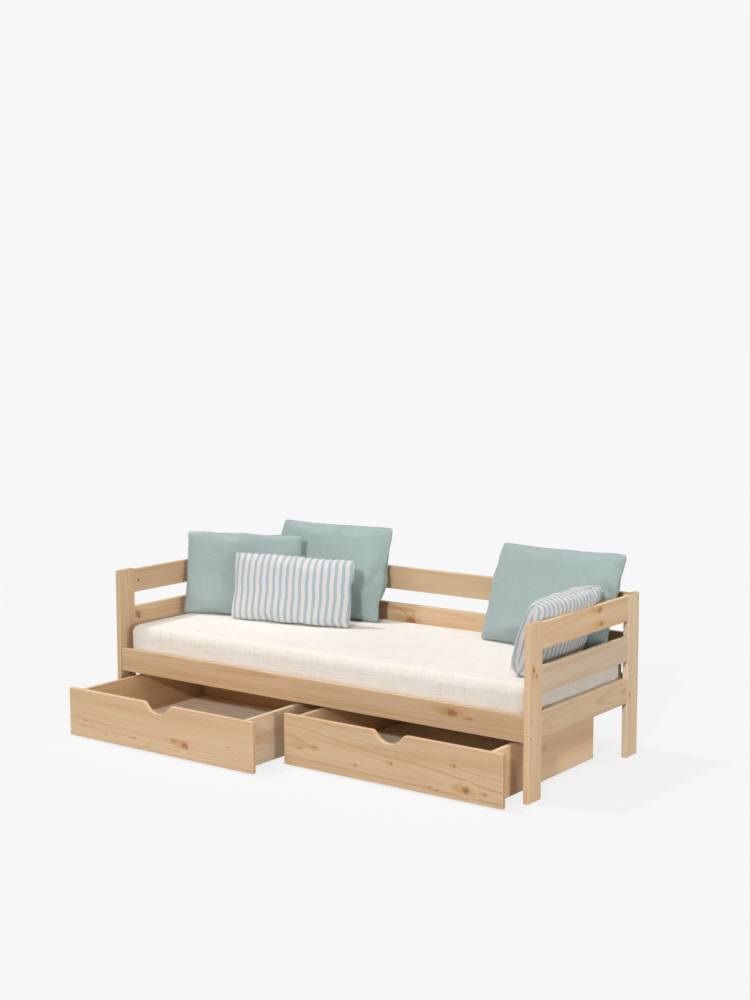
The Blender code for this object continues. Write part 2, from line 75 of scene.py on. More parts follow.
# Colours of the finishes
PINE_EARLY = (0.735, 0.535, 0.345, 1.0)
PINE_LATE = (0.500, 0.280, 0.120, 1.0)
PINE_STREAK = (0.585, 0.345, 0.165, 1.0)
KNOT_CORE = (0.330, 0.135, 0.060, 1.0)
KNOT_RIM = (0.170, 0.070, 0.035, 1.0)
KNOT_HALO = (0.600, 0.345, 0.135, 1.0)
PINE_EDGE = (0.830, 0.655, 0.415, 1.0)
PLY_PALE = (0.930, 0.805, 0.650, 1.0)
PLY_DARK = (0.830, 0.680, 0.510, 1.0)
TICKING = (0.880, 0.835, 0.775, 1.0)
TICKING_SLUB = (0.740, 0.660, 0.560, 1.0)
LINEN = (0.328, 0.415, 0.402, 1.0)
LINEN_DARK = (0.256, 0.334, 0.320, 1.0)
LINEN_LIGHT = (0.456, 0.539, 0.534, 1.0)
COTTON = (0.680, 0.650, 0.630, 1.0)
STRIPE = (0.335, 0.445, 0.510, 1.0)
STEEL = (0.560, 0.560, 0.570, 1.0)
DARK_STEEL = (0.085, 0.070, 0.060, 1.0)
NYLON = (0.045, 0.045, 0.050, 1.0)


def add_node(tree, kind, settings, values):
    """Add a node to a tree: its settings first, then the values and links of its sockets."""
    made = tree.nodes.new(kind)
    for key, value in (settings or {}).items():
        setattr(made, key, value)
    for key, value in (values or {}).items():
        source = getattr(value, "socket", value)
        if isinstance(source, bpy.types.NodeSocket):
            tree.links.new(source, made.inputs[key])
        else:
            made.inputs[key].default_value = value
    return made


class Wire:
    """A value, vector or colour on its way from one shader node to the next."""

    def __init__(self, finish, socket):
        self.finish = finish
        self.socket = socket

    def join(self, operation, first, second):
        """One Math node, or Vector Math where a vector or colour is involved."""
        wide = [isinstance(x, tuple) or getattr(getattr(x, "socket", None), "type", "")
                in ("VECTOR", "RGBA") for x in (first, second)]
        kind = "ShaderNodeVectorMath" if any(wide) else "ShaderNodeMath"
        return self.finish.node(kind, {"operation": operation}, {0: first, 1: second})

    def __add__(self, other):
        return self.join("ADD", self, other)

    def __radd__(self, other):
        return self.join("ADD", other, self)

    def __sub__(self, other):
        return self.join("SUBTRACT", self, other)

    def __rsub__(self, other):
        return self.join("SUBTRACT", other, self)

    def __mul__(self, other):
        return self.join("MULTIPLY", self, other)

    def __truediv__(self, other):
        return self.join("DIVIDE", self, other)

    def __pow__(self, other):
        return self.join("POWER", self, other)

    def lone(self, operation, *others):
        """A Math node of one value, or of one and the settings that follow it."""
        values = dict(enumerate((self,) + others))
        return self.finish.node("ShaderNodeMath", {"operation": operation}, values)

    def capped(self):
        """No more than one."""
        return self.lone("MINIMUM", 1.0)

    def step(self, low, high):
        """Zero at low and one at high, with a smooth rise between them."""
        values = {"Value": self, "From Min": low, "From Max": high}
        return self.finish.node("ShaderNodeMapRange", {"interpolation_type": "SMOOTHSTEP"}, values)


class Finish:
    """A material, or the world, while its nodes are put together."""

    def __init__(self, name, world=False):
        self.owner = (bpy.data.worlds if world else bpy.data.materials).new(name)
        self.owner.use_nodes = True
        self.tree = self.owner.node_tree
        self.tree.nodes.clear()
        self.output = "ShaderNodeOutputWorld" if world else "ShaderNodeOutputMaterial"

    def node(self, kind, settings=None, values=None, out=0):
        """A new node, as the wire from one of its outputs."""
        return Wire(self, add_node(self.tree, kind, settings, values).outputs[out])

    def place(self, output="Object"):
        """The texture coordinate."""
        return self.node("ShaderNodeTexCoord", out=output)

    def parts(self, vector):
        """The three numbers of a vector."""
        outputs = self.node("ShaderNodeSeparateXYZ", values={0: vector}).socket.node.outputs
        return [Wire(self, outputs[index]) for index in range(3)]

    def vector(self, x, y, z):
        """A vector from three numbers."""
        return self.node("ShaderNodeCombineXYZ", values={0: x, 1: y, 2: z})

    def distance(self, first, second):
        """How far apart two places are."""
        return self.node("ShaderNodeVectorMath", {"operation": "DISTANCE"},
                         {0: first, 1: second}, out=1)

    def cloud(self, vector, detail, seed):
        """Noise about zero, between minus and plus a half."""
        values = {"Vector": vector, "W": seed, "Scale": 1.0, "Detail": detail}
        return self.node("ShaderNodeTexNoise", {"noise_dimensions": "4D"}, values) - 0.5

    def blend(self, factor, first, second):
        """Mix two colours."""
        values = {0: factor, 6: first, 7: second}
        return self.node("ShaderNodeMix", {"data_type": "RGBA"}, values, out=2)

    def shaded(self, colour, shade):
        """A colour made lighter or darker as a whole."""
        return self.vector(shade, shade, shade) * colour

    def surface(self, colour, roughness, height, depth, strength, **fixed):
        """End in a Principled shader with a bump of a height, and give the material."""
        bump = self.node("ShaderNodeBump", values={
            "Height": height, "Strength": strength, "Distance": depth})
        values = {"Base Color": colour, "Roughness": roughness, "Normal": bump}
        values.update({key.replace("_", " "): value for key, value in fixed.items()})
        return self.end(self.node("ShaderNodeBsdfPrincipled", values=values))

    def end(self, shader):
        """Join the last shader to the output, and give the material or the world."""
        add_node(self.tree, self.output, None, {"Surface": shader})
        return self.owner


def wear(material, pieces):
    """Give CAD pieces a material in all their slots."""
    for name in pieces:
        mesh = NODES[name].data
        mesh.materials.clear()
        mesh.materials.append(material)


def piece(name, mesh, material, body="frame"):
    """A finished piece at the origin, riding on a body."""
    mesh.name = name
    mesh.materials.clear()
    mesh.materials.append(material)
    made = bpy.data.objects.new(name, mesh)
    bpy.context.scene.collection.objects.link(made)
    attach(made, body)
    return made


# ---------------------------------------------------------------- pine boards

def board_axes(node):
    """Axes of a board in the order along, across, through, with its middle and half sizes."""
    low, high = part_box(node)
    size = high - low
    order = sorted(range(3), key=lambda axis: -size[axis])
    return order, (low + high) / 2, size / 2


# Figure of the pine: how often it changes in a metre along, across and through the board
WANDER = (1.6, 5.0, 5.0)
RIPPLE = (9.0, 42.0, 42.0)
PATCHES = (1.7, 6.0, 6.0)
STREAKS = (1.1, 26.0, 26.0)
FLECKS = (38.0, 620.0, 620.0)
FIBRES = (30.0, 1500.0, 1500.0)
RAGGED = (75.0, 130.0, 130.0)
BROKEN = (70.0, 70.0, 70.0)
# Knots: the radius of one that shows in full, how far one turns the grain, and the reach and the
# length of its glow, in radii
FULL_KNOT = 0.0045
KNOT_PULL = 4.5
GLOW_REACH = 2.3
GLOW_LENGTH = 2.4
# How far the light wear of an edge reaches
WORN_EDGE = (0.0008, 0.0034)


def pine(node, tone, warmth, spacing, heart, lean, slant, seed, bold=0.85, knots=(), pale=1.0):
    """Sawn pine: growth rings about a heart, fibres, flecks, and knots that turn the grain.

    Tone and warmth are how light and how red the board is, and bold is how dark its rings are, at
    their spacing. Heart is where the middle of the tree lies, across and under the board; slant
    and lean are how far that drifts across and under it. A knot is its place along and across the
    board from the low corner, its radius and its length as a multiple of that, and a small one is
    fainter. Pale is how light the board's edges are.
    """
    f = Finish(f"pine_{node}")
    order, middle, half = board_axes(node)
    position = f.parts(f.place() - tuple(middle))
    along, across, through = (position[axis] for axis in order)
    grain = f.vector(along, across, through)
    wander = f.cloud(grain * WANDER, 2.0, seed)
    ripple = f.cloud(grain * RIPPLE, 3.0, seed + 3.1)
    side = across - heart[0] + along * slant + wander * 0.045
    deep = through + heart[1] + along * lean + wander * 0.012
    age = (side * side + deep * deep).lone("SQRT") / spacing + ripple * 0.45

    core, rim, halo = 0.0, 0.0, 0.0
    face = f.vector(along, across, 0.0)
    ragged = f.cloud(grain * RAGGED, 2.0, seed + 6.6) if knots else 0.0
    for k_along, k_across, radius, stretch in knots:
        centre = ((k_along - half[order[0]]) / stretch, k_across - half[order[1]], 0.0)
        offset = f.distance(face * (1.0 / stretch, 1.0, 0.0), centre)
        faint = min(1.0, radius / FULL_KNOT)
        inside = radius - offset - (ripple * 0.7 + ragged * 1.5) * radius
        age = age - inside.lone("SMOOTH_MAX", 0.0, radius * KNOT_PULL) * (1.5 / spacing)
        core = core + inside.step(-radius * 0.30, radius * 0.55) * faint
        rim = rim + (1.0 - inside.lone("ABSOLUTE").step(0.0, radius * 0.30)) * faint
        glow = (centre[0] / GLOW_LENGTH - radius * 0.5, centre[1] + radius * 0.2, 0.0)
        away = f.distance(face * (1.0 / stretch / GLOW_LENGTH, 1.0, 0.0), glow)
        halo = halo + (radius * GLOW_REACH - away - (ripple + ragged) * radius) \
            .step(0.0, radius * 1.9)

    turn = age.lone("FRACT")
    ring = age.lone("FLOOR")
    chance = f.node("ShaderNodeTexWhiteNoise", {"noise_dimensions": "1D"}, {"W": ring})
    late = turn.step(0.48, 0.94) * (1.0 - turn.step(0.95, 1.0)) * (0.14 + chance ** 3.0 * 0.80)
    streak = f.cloud(grain * STREAKS, 3.0, seed + 7.7).step(-0.14, 0.26)
    fibre = f.cloud(grain * FIBRES, 2.0, seed + 1.9)
    fleck = f.cloud(grain * FLECKS, 1.0, seed + 5.3).step(0.20, 0.27)

    colour = f.blend(streak * 0.60, PINE_EARLY, PINE_STREAK)
    if knots:
        colour = f.blend((halo * 0.75).capped(), colour, KNOT_HALO)
        colour = f.blend((core * 0.80).capped(), colour, KNOT_CORE)
    colour = f.blend(late * bold, colour, PINE_LATE)
    colour = f.blend(fleck * 0.35, colour, PINE_LATE)
    if knots:
        broken = f.cloud(grain * BROKEN, 2.0, seed + 4.4).step(-0.15, 0.15)
        colour = f.blend((rim * (0.06 + broken * 0.46)).capped(), colour, KNOT_RIM)
    shade = 1.0 + fibre * 0.12 + f.cloud(grain * PATCHES, 1.0, seed + 9.0) * 0.12
    normal = f.parts(f.place("Normal"))
    end = normal[order[0]].lone("ABSOLUTE").step(0.75, 0.95)
    edge = normal[order[1]].lone("ABSOLUTE").step(0.75, 0.95)
    shade = shade * (1.0 - end * 0.14)
    colour = f.blend(edge * (0.38 * pale), colour, PINE_EDGE)
    colour = f.blend(end * 0.35, colour, KNOT_HALO)
    tint = (tone * (1.0 + warmth), tone, tone * (1.0 - warmth * 1.4))
    colour = f.shaded(colour * tint, shade)

    sizes = [half[axis] - part.lone("ABSOLUTE") for axis, part in
             zip(order, (along, across, through))]
    low_pair = sizes[0].lone("MINIMUM", sizes[1])
    high_pair = sizes[0].lone("MAXIMUM", sizes[1])
    arris = low_pair.lone("MAXIMUM", high_pair.lone("MINIMUM", sizes[2]))
    worn = 1.0 - arris.step(*WORN_EDGE)
    colour = f.blend(worn * (0.20 * pale), colour, PINE_EDGE)
    roughness = 0.50 + late * 0.06 + fibre * 0.10 + end * 0.12 + worn * 0.06
    height = fibre * 0.7 - late * 0.35 - fleck * 0.4 - rim * 0.25
    return f.surface(colour, roughness, height, 0.00035, 0.5, Specular_IOR_Level=0.35)


# What the boards in view show; the rest of a board's look, and other boards, are drawn by chance
BOARDS = {
    "drawer_left_front": dict(tone=1.01, heart=(-0.105, 0.090), lean=-0.010, slant=0.073,
                              bold=0.75, pale=0.0, spacing=0.0065, knots=(
        (0.621, 0.052, 0.0125, 1.15), (0.565, 0.064, 0.0035, 3.4), (0.091, 0.071, 0.0024, 2.0),
        (0.088, 0.046, 0.0020, 2.2), (0.358, 0.040, 0.0030, 2.2), (0.206, 0.031, 0.0020, 2.0),
        (0.431, 0.019, 0.0020, 2.0), (0.843, 0.083, 0.0020, 2.0))),
    "drawer_right_front": dict(tone=0.94, warmth=0.02, heart=(-0.027, 0.110), lean=0.013,
                               slant=0.056, bold=0.78, pale=0.0, spacing=0.0070, knots=(
        (0.810, 0.041, 0.0115, 1.0), (0.763, 0.119, 0.0050, 1.0), (0.494, 0.083, 0.0045, 1.2),
        (0.888, 0.040, 0.0042, 1.3), (0.693, 0.020, 0.0034, 1.2), (0.660, 0.025, 0.0034, 1.6),
        (0.148, 0.087, 0.0034, 1.6), (0.075, 0.072, 0.0030, 1.5), (0.335, 0.050, 0.0034, 1.8))),
    "drawer_left_side_left": dict(tone=0.66, warmth=0.08, spacing=0.0075, heart=(0.13, 0.02),
                                  lean=0.02, bold=1.5),
    "drawer_right_side_left": dict(tone=0.72, warmth=0.08, bold=1.1, knots=(
        (0.420, 0.130, 0.0080, 1.0),)),
    "drawer_left_back": dict(tone=0.76, warmth=0.10),
    "drawer_right_back": dict(tone=0.92, warmth=0.08),
    "drawer_left_side_right": dict(tone=0.97, warmth=-0.06, spacing=0.0075, heart=(0.0, 0.06),
                                   knots=(
        (0.070, 0.110, 0.0028, 1.0),)),
    "drawer_right_side_right": dict(tone=1.10, warmth=0.03, heart=(0.03, 0.16), bold=0.5),
    "rail_front": dict(tone=0.84, warmth=0.03, heart=(0.035, 0.070), lean=0.009, bold=1.0,
                       pale=0.0, knots=(
        (1.640, 0.064, 0.0115, 1.5), (1.715, 0.052, 0.0030, 3.5))),
    "rail_right_top": dict(tone=1.0, warmth=0.04, heart=(0.100, 0.080), slant=-0.12, bold=0.6,
                           knots=(
        (0.410, 0.078, 0.0100, 1.3), (0.425, 0.024, 0.0085, 1.5))),
    "rail_right_mid": dict(tone=1.0, warmth=-0.08, heart=(-0.09, 0.035), slant=-0.06, bold=1.3),
    "rail_right_low": dict(tone=1.02, warmth=-0.03, heart=(0.0, 0.045), lean=-0.060, bold=0.8,
                           spacing=0.0125),
    "leg_front_right": dict(tone=1.02, warmth=0.03, heart=(0.10, 0.06), bold=0.4, pale=0.2,
                            knots=(
        (0.470, 0.028, 0.0075, 1.3), (0.445, 0.050, 0.0050, 1.3))),
    "leg_front_left": dict(tone=0.79),
    "leg_back_right": dict(tone=1.22, warmth=-0.08, heart=(-0.09, 0.06), bold=0.4, knots=(
        (0.245, 0.020, 0.0060, 1.4),)),
    "rail_back_top": dict(tone=0.83, warmth=0.02, bold=0.6),
    "rail_back_mid": dict(tone=0.96, heart=(0.02, 0.060), lean=0.02, knots=(
        (0.915, 0.030, 0.0130, 1.6),)),
    "rail_left_top": dict(tone=0.73, warmth=0.04, heart=(0.08, 0.05), knots=(
        (0.330, 0.030, 0.0045, 2.6),)),
    "rail_left_mid": dict(tone=0.86, warmth=0.03, heart=(-0.05, 0.06), knots=(
        (0.020, 0.060, 0.0120, 1.0),)),
}
PINE_NODES = sorted(
    name for name in NODES if name.startswith(("leg_", "rail_", "ledger_", "slat_"))
    or name.startswith("drawer_") and name.endswith(("front", "left", "right", "back")))


def dress_boards():
    """Every board of the frame and the drawers."""
    draw = random.Random(41)
    for number, name in enumerate(PINE_NODES):
        look = dict(tone=draw.uniform(0.96, 1.04), warmth=draw.uniform(-0.02, 0.03),
                    heart=(draw.uniform(-0.09, 0.09), draw.uniform(0.05, 0.15)),
                    lean=draw.uniform(-0.02, 0.02), slant=draw.uniform(-0.04, 0.04),
                    spacing=draw.uniform(0.0045, 0.0068), seed=number * 2.37)
        look.update(BOARDS.get(name, {}))
        wear(pine(name, **look), [name])


# ---------------------------------------------------------------- other finishes

def drawer_ply():
    """Rotary-cut plywood: broad pale figure and fine open pores."""
    f = Finish("drawer_ply")
    place = f.place()
    figure = f.cloud(place * (2.0, 9.0, 9.0), 3.0, 2.0)
    bands = (figure * 34.0).lone("SINE").step(-0.9, 1.0)
    pores = f.cloud(place * (60.0, 900.0, 900.0), 2.0, 4.0)
    colour = f.blend(bands * 0.55, PLY_PALE, PLY_DARK)
    colour = f.shaded(colour, 1.0 + pores * 0.16)
    return f.surface(colour, 0.62 + pores * 0.1, pores, 0.0003, 0.4, Specular_IOR_Level=0.3)


# How often threads and their thick places change in a metre, across and along the thread
THREADS = (1100.0, 22.0)
SLUBS = (320.0, 9.0)
# How far apart the stripes are, and on a cushion of a cloth with closer ones
STRIPE_PERIOD = 0.0315
STRIPE_PITCH = {"cushion_striped_right": 0.0265}


def woven(f, flat, pitch, seed):
    """A plain weave: its fine threads, its coarse ones, and the height of the weave itself."""
    u, v, w = f.parts(flat)

    def threads(rates, detail, start):
        across, along = rates
        return f.cloud(f.vector(u * across, v * along, w * across), detail, start) \
            + f.cloud(f.vector(u * along, v * across, w * along), detail, start + 2.0)

    turn = math.tau / pitch
    checks = (u * turn).lone("SINE") * (v * turn).lone("SINE")
    return threads(THREADS, 2.0, seed), threads(SLUBS, 1.0, seed + 4.0), checks


def linen():
    """Sage linen with light and dark slubs."""
    f = Finish("green_linen")
    fine, coarse, checks = woven(f, f.place("UV"), 0.0011, 1.0)
    colour = f.blend((fine * 1.5 + coarse * 0.5).step(-0.45, 0.55), LINEN_DARK, LINEN_LIGHT)
    colour = f.blend(0.58, colour, LINEN)
    colour = f.shaded(colour, 1.0 + f.cloud(f.place() * (9.0, 9.0, 9.0), 2.0, 2.0) * 0.10)
    return f.surface(colour, 0.86 + fine * 0.1, checks * 0.4 + fine + coarse * 0.25, 0.0005, 0.45,
                     Sheen_Weight=0.25, Sheen_Roughness=0.5, Specular_IOR_Level=0.2)


def striped_cotton():
    """Off-white cotton with woven blue stripes that run up the cushion."""
    f = Finish("striped_cotton")
    flat = f.place("UV")
    fine, coarse, checks = woven(f, flat, 0.0009, 21.0)
    across = f.parts(flat)[0]
    phase = (across / STRIPE_PERIOD + 0.25).lone("FRACT") + coarse * 0.03
    blue = phase.step(0.02, 0.09) * (1.0 - phase.step(0.46, 0.53))
    colour = f.blend(blue * 0.86 + fine * 0.12, COTTON, STRIPE)
    colour = f.shaded(colour, 1.0 + fine * 0.10 + coarse * 0.05)
    return f.surface(colour, 0.88, checks * 0.4 + fine, 0.0004, 0.4,
                     Sheen_Weight=0.15, Sheen_Roughness=0.5, Specular_IOR_Level=0.2)


def ticking():
    """Slubbed off-white cover of the mattress, with painted shade that makes it darker and warmer
    where it turns down to its side.
    """
    f = Finish("ticking")
    fine, coarse, checks = woven(f, f.place("UV"), 0.0012, 51.0)
    warm = f.cloud(f.place() * (5.0, 5.0, 5.0), 2.0, 8.0)
    slubs = (fine * 1.2 + coarse * 3.4 + warm * 0.15).step(0.0, 1.0)
    colour = f.blend(slubs, TICKING, TICKING_SLUB)
    up = f.parts(f.place("Normal"))[2]
    # Painted shade: the rounded shoulder between the top and the side is darkened, a little more in
    # blue.
    painted_shoulder_shade = up.step(0.10, 0.60) * (1.0 - up.step(0.80, 0.985))
    colour = colour * f.vector(*(1.0 - painted_shoulder_shade * share for share in (0.09, 0.11, 0.14)))
    return f.surface(colour, 0.88, checks * 0.4 + fine + coarse * 0.8, 0.0006, 0.45,
                     Sheen_Weight=0.15, Sheen_Roughness=0.5, Specular_IOR_Level=0.2)


def metal(name, colour, roughness, metallic):
    """Plated or moulded small part, with fine scratches."""
    f = Finish(name)
    scratch = f.cloud(f.place() * (60.0, 900.0, 400.0), 3.0, 3.0)
    colour = f.shaded(colour[:3], 1.0 + scratch * 0.2)
    return f.surface(colour, roughness + scratch * 0.2, scratch, 0.0001, 0.2, Metallic=metallic)


# ---------------------------------------------------------------- cushions

# The cloth while it is filled: its stiffness in its plane and against bending, and how long, in
# frames, that takes
CLOTH_STIFFNESS = 18.0
CLOTH_BENDING = 0.5
FILLING_FRAMES = 26


def inflate(obj, pressure):
    """Fill a cloth shell with pressure and keep the shape that it takes."""
    cloth = obj.modifiers.new("filling", "CLOTH")
    setting = cloth.settings
    setting.quality = 6
    setting.mass = 0.25
    setting.tension_stiffness = CLOTH_STIFFNESS
    setting.compression_stiffness = CLOTH_STIFFNESS
    setting.shear_stiffness = CLOTH_STIFFNESS * 0.4
    setting.bending_stiffness = CLOTH_BENDING
    setting.use_pressure = True
    setting.uniform_pressure_force = pressure
    setting.effector_weights.gravity = 0.0
    cloth.collision_settings.use_collision = False
    cloth.point_cache.frame_start = 1
    cloth.point_cache.frame_end = FILLING_FRAMES
    for number in range(1, FILLING_FRAMES + 1):
        bpy.context.scene.frame_set(number)
    graph = bpy.context.evaluated_depsgraph_get()
    filled = np.array([vert.co for vert in obj.evaluated_get(graph).data.vertices])
    obj.modifiers.remove(cloth)
    bpy.context.scene.frame_set(1)
    return filled


# Cushions: node, finish, turn and lean in degrees, pressure, fullness, slack of the cloth, and seed
# of the creases. Fullness is how soon it thins towards its seam, the same for the right-hand seam,
# and the share of the difference that is lost near the top.
CUSHIONS = (
    ("cushion_green_centre", "linen", 2.3, 16.3, 1.7, (0.88, 1.35, 0.0), 1.045, 5.0),
    ("cushion_green_right", "linen", -3.0, 23.0, 1.7, (0.86, 1.05, 0.0), 1.045, 8.0),
    ("cushion_green_left", "linen", 23.5, 11.0, 1.5, (0.86, 0.80, 0.0), 1.04, 3.0),
    ("cushion_striped_left", "stripe", 11.5, 10.4, 1.5, (0.80, 0.80, 0.0), 1.010, 11.0),
    ("cushion_striped_right", "stripe", -89.0, 18.0, 1.8, (0.68, 0.42, 0.8), 1.0, 22.0),
)
# How each seam runs: millimetres outside the straight line at shares of a side, left to right
# and bottom to top
SEAM_LINES = {
    "cushion_green_left": dict(
        top=((0, 5), (0.05, 2), (0.13, 4), (0.27, -1), (0.5, 1), (0.70, -6), (0.83, 0), (1, 0)),
        left=((0, 0), (0.2, -4), (0.4, -8), (0.65, -5), (0.88, -6), (0.96, -2), (1, 3)),
        right=((0, 0), (0.3, -7), (0.7, -4), (1, -1)), bottom=((0, 0), (0.5, -2), (1, 0))),
    "cushion_green_centre": dict(
        top=((0, -1), (0.26, -7), (0.5, -5), (0.85, -1), (1, 0)),
        left=((0, 0), (0.5, -7), (0.85, 1), (1, -1)),
        right=((0, 0), (0.1, -4), (0.23, -14), (0.31, -3), (0.44, -3), (0.53, -13), (0.67, -5),
               (0.87, 3), (1, 0)), bottom=((0, 0), (0.5, -2), (1, 0))),
    "cushion_green_right": dict(
        top=((0, 0), (0.27, -5), (0.45, -6), (0.53, -2), (0.67, -5), (0.83, 1), (0.93, 3), (1, 0)),
        left=((0, 0), (0.4, -2), (0.8, 5), (0.92, 4), (1, -2)),
        right=((0, 0), (0.5, -6), (0.65, -8), (0.8, -4), (0.93, 1), (1, 0)),
        bottom=((0, 0), (0.5, -2), (1, 0))),
    "cushion_striped_left": dict(
        top=((0, 0), (0.3, 1), (0.6, -1), (0.8, -3), (0.92, 0), (1, 0)),
        left=((0, 0), (0.2, -2), (0.35, -7), (0.45, -12), (0.56, -7), (0.78, 0), (1, 0)),
        right=((0, 0), (0.3, -2), (0.47, -3), (0.6, -8), (0.7, -1), (0.85, 2), (1, 0)),
        bottom=((0, 0), (0.25, 2), (0.55, -1), (1, 0))),
    "cushion_striped_right": dict(
        top=((0, 0), (0.35, -1), (0.6, 0), (0.8, -3), (1, -12)), left=((0, 0), (0.5, -4), (1, 0)),
        right=((0, -30), (0.1, -20), (0.25, -8), (0.5, 0), (0.8, -3), (1, -14)),
        bottom=((0, 0), (0.5, -1), (0.8, -3), (0.92, -8), (1, -16))),
}
# Shares of a side over which the seam's line is averaged
SEAM_SMOOTHING = (-0.03, -0.015, 0.0, 0.015, 0.03)
CLOTH_CELL = 0.012
CORNER_ROUNDING = 0.009
# Share of its own rise and fall that the seam keeps, and how far the cloth stays inside it
SEAM_WANDER = 0.35
SEAM_MARGIN = 0.0008
# The roll along the seam
SEAM_RADIUS = 0.0012
SEAM_SIDES = 6
# Creases before the filling and dents after it: depth, and how often in a metre
CREASE_DEPTH = 0.004
CREASE_RATE = 9.0
DENT_DEPTH = 0.0045
DENT_RATE = 8.0
SMALL_DENT_RATE = 19.0
# Where the fullness turns into that of the right-hand seam, and where that is lost
RIGHT_SHARE = (0.55, 1.0)
TOP_SHARE = (0.2, 1.0)


def sewn_panels(width, height):
    """Two flat panels sewn round their border.

    Gives points, faces, flat places, the border's order, the index of each point by side, column
    and row, and the number of cells each way.
    """
    nx, ny = round(width / CLOTH_CELL), round(height / CLOTH_CELL)
    points, flat, index = [], [], {}
    for side in (1, -1):
        for j in range(ny + 1):
            for i in range(nx + 1):
                rim = i in (0, nx) or j in (0, ny)
                if rim and side == -1:
                    index[side, i, j] = index[1, i, j]
                    continue
                u, v = 2 * i / nx - 1, 2 * j / ny - 1
                lift = 0.0 if rim else side * CLOTH_CELL * math.sqrt((1 - u ** 4) * (1 - v ** 4))
                index[side, i, j] = len(points)
                points.append((u * width / 2, v * height / 2, lift))
                flat.append((u, v))
    faces = []
    for side in (1, -1):
        for j in range(ny):
            for i in range(nx):
                quad = [index[side, i, j], index[side, i + 1, j],
                        index[side, i + 1, j + 1], index[side, i, j + 1]]
                faces.append(quad if side == 1 else quad[::-1])
    border = [index[1, i, 0] for i in range(nx)] + [index[1, nx, j] for j in range(ny)]
    border += [index[1, i, ny] for i in range(nx, 0, -1)]
    border += [index[1, 0, j] for j in range(ny, 0, -1)]
    return np.array(points), faces, np.array(flat), border, index, (nx, ny)


def seam_place(u, v, size, lines):
    """Where a place on the border of the flat panel comes to lie: rounded corners and waves."""
    half = (size[0] / 2, size[1] / 2)
    point = [u * half[0], v * half[1]]
    inner = [max(CORNER_ROUNDING - h, min(h - CORNER_ROUNDING, p)) for h, p in zip(half, point)]
    away = [p - i for p, i in zip(point, inner)]
    length = math.hypot(*away)
    place = [i + a / length * CORNER_ROUNDING for i, a in zip(inner, away)]
    for name, here, axis, sign, share in (("left", u <= -1, 0, -1, v), ("right", u >= 1, 0, 1, v),
                                          ("bottom", v <= -1, 1, -1, u), ("top", v >= 1, 1, 1, u)):
        if here:
            shares, waves = zip(*lines[name])
            share = (share + 1) / 2
            near = [np.interp(share + shift, shares, waves) for shift in SEAM_SMOOTHING]
            place[axis] += sign * sum(near) / len(near) / 1000
    return place


def lay_seam(filled, flat, index, counts, size, lines):
    """Draw the whole cushion over so that its seam runs along its own outline."""
    nx, ny = counts
    u, v = (flat[:, 0] + 1) / 2, (flat[:, 1] + 1) / 2
    sides = ([index[1, i, 0] for i in range(nx + 1)], [index[1, i, ny] for i in range(nx + 1)],
             [index[1, 0, j] for j in range(ny + 1)], [index[1, nx, j] for j in range(ny + 1)])

    def drift(spot):
        x, y = seam_place(flat[spot, 0], flat[spot, 1], size, lines)
        return filled[spot] - (x, y, filled[spot, 2] * SEAM_WANDER)

    def read(rows, share):
        return np.column_stack([np.interp(share * (len(rows) - 1), np.arange(len(rows)), rows[:, c])
                                for c in range(3)])

    bottom, top, left, right = (np.array([drift(spot) for spot in side]) for side in sides)
    upright = (1 - v)[:, None] * read(bottom, u) + v[:, None] * read(top, u)
    sideways = (1 - u)[:, None] * read(left, v) + u[:, None] * read(right, v)
    corner = ((1 - u) * (1 - v))[:, None] * bottom[0] + (u * (1 - v))[:, None] * bottom[-1] \
        + ((1 - u) * v)[:, None] * top[0] + (u * v)[:, None] * top[-1]
    laid = filled - (upright + sideways - corner)
    bottom, top, left, right = (read(laid[side], share)
                                for side, share in zip(sides, (u, u, v, v)))
    free = (np.abs(flat) < 1).all(1)
    for axis, low, high in ((0, left, right), (1, bottom, top)):
        laid[free, axis] = np.clip(laid[free, axis], low[free, axis] + SEAM_MARGIN,
                                   high[free, axis] - SEAM_MARGIN)
    return laid


def local_frame(node, turn, lean):
    """Turn and middle of a cushion, with its width, height and thickness, from the CAD solid."""
    spin = np.array(Matrix.Rotation(math.radians(turn), 3, "Z")
                    @ Matrix.Rotation(math.radians(90.0 - lean), 3, "X"))
    points = np.array([vert.co for vert in NODES[node].data.vertices]) @ spin
    low, high = points.min(0), points.max(0)
    return spin, (low + high) / 2, high - low


def shape_cushion(node, turn, lean, pressure, fullness, slack, seed):
    """The cushion's surface and faces, its cloth laid out, and the order of its border."""
    spin, middle, size = local_frame(node, turn, lean)
    flat_size = size[:2] * slack
    points, faces, flat, border, index, counts = sewn_panels(*flat_size)
    for point in points:
        crease = noise.noise(Vector(point) * CREASE_RATE + Vector((seed, 0.0, 0.0)))
        point[2] += CREASE_DEPTH * crease
    mesh = bpy.data.meshes.new(node)
    mesh.from_pydata(points.tolist(), [], faces)
    shell = bpy.data.objects.new("shell", mesh)
    bpy.context.scene.collection.objects.link(shell)
    filled = inflate(shell, pressure)
    bpy.data.objects.remove(shell)
    bpy.data.meshes.remove(mesh)
    filled = lay_seam(filled, flat, index, counts, size, SEAM_LINES[node])
    fill = np.abs(filled[:, 2]) / np.abs(filled[:, 2]).max()
    soon, soon_right, lost = fullness
    towards = np.interp(flat[:, 0], RIGHT_SHARE, (0, 1)) \
        * (1 - lost * np.interp(flat[:, 1], TOP_SHARE, (0, 1)))
    power = soon + (soon_right - soon) * towards
    dents = np.array([
        noise.noise(Vector((x * DENT_RATE, y * DENT_RATE, seed + (z > 0) * 5.0)))
        + 0.4 * noise.noise(Vector((x * SMALL_DENT_RATE, y * SMALL_DENT_RATE, seed)))
        for x, y, z in filled])
    depth = size[2] / 2 - DENT_DEPTH * (1.0 + dents)
    filled[:, 2] = np.sign(filled[:, 2]) * fill ** power * depth
    laid_out = cloth_lengths(filled, flat * flat_size / 2, index, counts)
    return (filled + middle) @ spin.T, faces, laid_out, border


